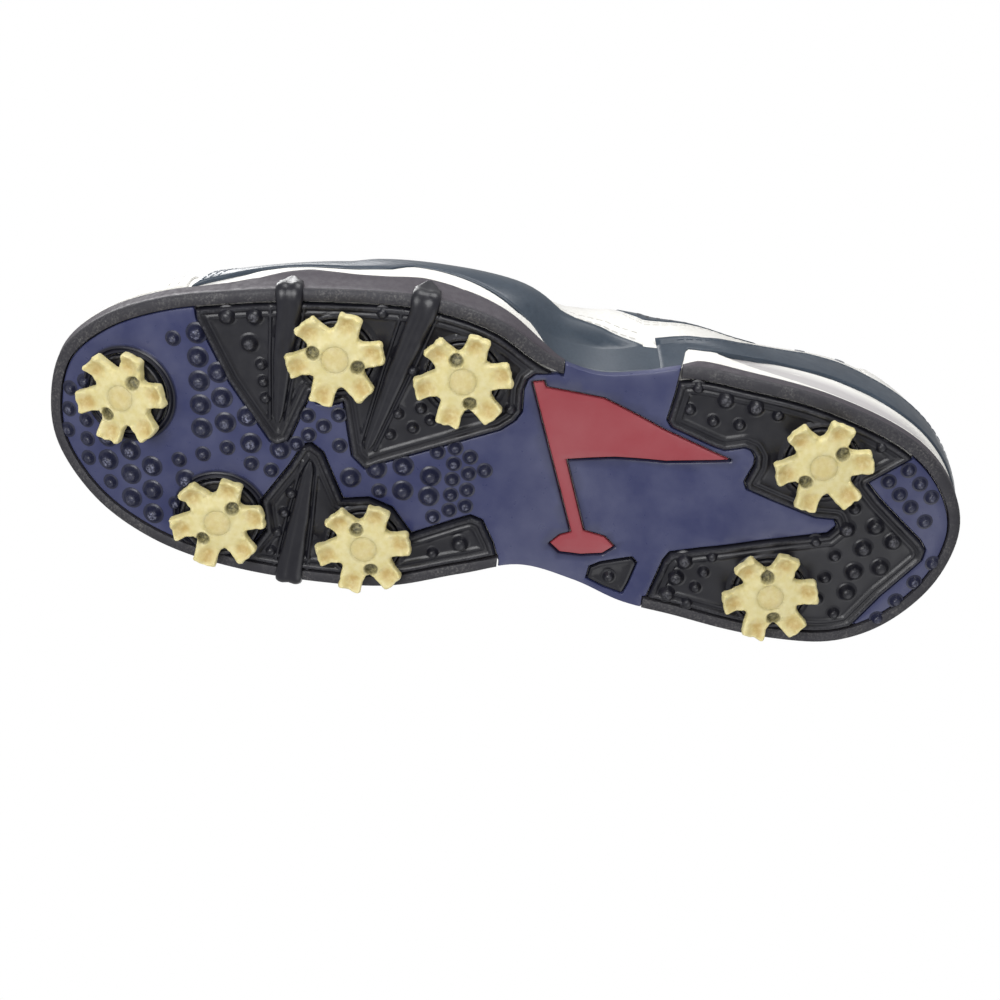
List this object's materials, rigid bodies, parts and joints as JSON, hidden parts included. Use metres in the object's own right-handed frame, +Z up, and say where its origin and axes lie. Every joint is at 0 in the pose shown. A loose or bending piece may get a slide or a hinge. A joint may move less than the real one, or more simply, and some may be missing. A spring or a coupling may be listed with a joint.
{
  "type": "golf shoe",
  "caption": "Left low-cut golf shoe with a moulded two-tone outsole, removable soft-spike cleats that turn in their seats, foam midsole and white and navy leather upper.",
  "frame": {"origin": "centre of the bounding box in plan, at the height of the cleat tips that the shoe stands on", "axes": "+Y from toe to heel, +X to the outer side of the foot, +Z up"},
  "size_m": [0.1076, 0.2998, 0.1152],
  "materials": {
    "plate_tpu": "moulded, satin with a slight gloss",
    "rim_rubber": "matte, worn",
    "insert_tpu": "moulded, satin",
    "emblem_tpu": "moulded, satin",
    "cleat_tpu": "moulded, yellowed, matte",
    "post_plastic": "moulded, matte",
    "receptacle_plastic": "moulded, satin",
    "midsole_foam": "moulded foam, matte",
    "shank_steel": "brushed",
    "board_fibre": "pressed fibre, matte",
    "lining_textile": "woven, matte",
    "white_leather": "smooth coated, satin",
    "navy_leather": "smooth coated, satin",
    "eyelet_metal": "painted",
    "stiffener_plastic": "formed sheet, matte"
  },
  "bodies": {
    "shoe": {"outsole_plate": "plate_tpu", "forefoot_rim": "rim_rubber", "heel_rim": "rim_rubber", "lateral_forefoot_insert": "insert_tpu", "medial_forefoot_insert": "insert_tpu", "heel_insert": "insert_tpu", "waist_pad": "insert_tpu", "sole_emblem": "emblem_tpu", "receptacle_toe": "receptacle_plastic", "receptacle_lateral_front": "receptacle_plastic", "receptacle_lateral_rear": "receptacle_plastic", "receptacle_medial_front": "receptacle_plastic", "receptacle_medial_rear": "receptacle_plastic", "receptacle_heel_lateral": "receptacle_plastic", "receptacle_heel_medial": "receptacle_plastic", "midsole": "midsole_foam", "heel_cushion": "midsole_foam", "shank_plate": "shank_steel", "lasting_board": "board_fibre", "sockliner": "lining_textile", "lining": "lining_textile", "collar_padding": "lining_textile", "toe_cap": "white_leather", "eyestay_lateral": "white_leather", "eyestay_medial": "white_leather", "quarter_lateral": "white_leather", "quarter_medial": "white_leather", "heel_patch": "white_leather", "vamp": "white_leather", "tongue": "white_leather", "mudguard_lateral": "navy_leather", "mudguard_medial": "navy_leather", "heel_band": "navy_leather", "eyelet_lateral_1": "eyelet_metal", "eyelet_lateral_2": "eyelet_metal", "eyelet_lateral_3": "eyelet_metal", "eyelet_lateral_4": "eyelet_metal", "eyelet_lateral_5": "eyelet_metal", "eyelet_medial_1": "eyelet_metal", "eyelet_medial_2": "eyelet_metal", "eyelet_medial_3": "eyelet_metal", "eyelet_medial_4": "eyelet_metal", "eyelet_medial_5": "eyelet_metal", "toe_puff": "stiffener_plastic", "heel_counter": "stiffener_plastic"},
    "cleat_toe_unit": {"cleat_toe": "cleat_tpu", "cleat_post_toe": "post_plastic"},
    "cleat_lateral_front_unit": {"cleat_lateral_front": "cleat_tpu", "cleat_post_lateral_front": "post_plastic"},
    "cleat_lateral_rear_unit": {"cleat_lateral_rear": "cleat_tpu", "cleat_post_lateral_rear": "post_plastic"},
    "cleat_medial_front_unit": {"cleat_medial_front": "cleat_tpu", "cleat_post_medial_front": "post_plastic"},
    "cleat_medial_rear_unit": {"cleat_medial_rear": "cleat_tpu", "cleat_post_medial_rear": "post_plastic"},
    "cleat_heel_lateral_unit": {"cleat_heel_lateral": "cleat_tpu", "cleat_post_heel_lateral": "post_plastic"},
    "cleat_heel_medial_unit": {"cleat_heel_medial": "cleat_tpu", "cleat_post_heel_medial": "post_plastic"}
  },
  "joints": [
    {"name": "cleat_toe_turn", "type": "hinge", "parent": "shoe", "child": "cleat_toe_unit", "pos_m": [0.00617, -0.12163, 0.01287], "axis": [0, -0.2465, -0.9692], "range_deg": [0, 90]},
    {"name": "cleat_lateral_front_turn", "type": "hinge", "parent": "shoe", "child": "cleat_lateral_front_unit", "pos_m": [0.02867, -0.05563, 0.008], "axis": [0, 0, -1], "range_deg": [0, 90]},
    {"name": "cleat_lateral_rear_turn", "type": "hinge", "parent": "shoe", "child": "cleat_lateral_rear_unit", "pos_m": [0.02618, -0.01563, 0.008], "axis": [0, 0, -1], "range_deg": [0, 90]},
    {"name": "cleat_medial_front_turn", "type": "hinge", "parent": "shoe", "child": "cleat_medial_front_unit", "pos_m": [-0.03083, -0.08964, 0.008], "axis": [0, 0, -1], "range_deg": [0, 90]},
    {"name": "cleat_medial_rear_turn", "type": "hinge", "parent": "shoe", "child": "cleat_medial_rear_unit", "pos_m": [-0.03433, -0.04213, 0.008], "axis": [0, 0, -1], "range_deg": [0, 90]},
    {"name": "cleat_heel_lateral_turn", "type": "hinge", "parent": "shoe", "child": "cleat_heel_lateral_unit", "pos_m": [0.01117, 0.09936, 0.008], "axis": [0, 0, -1], "range_deg": [0, 90]},
    {"name": "cleat_heel_medial_turn", "type": "hinge", "parent": "shoe", "child": "cleat_heel_medial_unit", "pos_m": [-0.03533, 0.08987, 0.008], "axis": [0, 0, -1], "range_deg": [0, 90]}
  ]
}
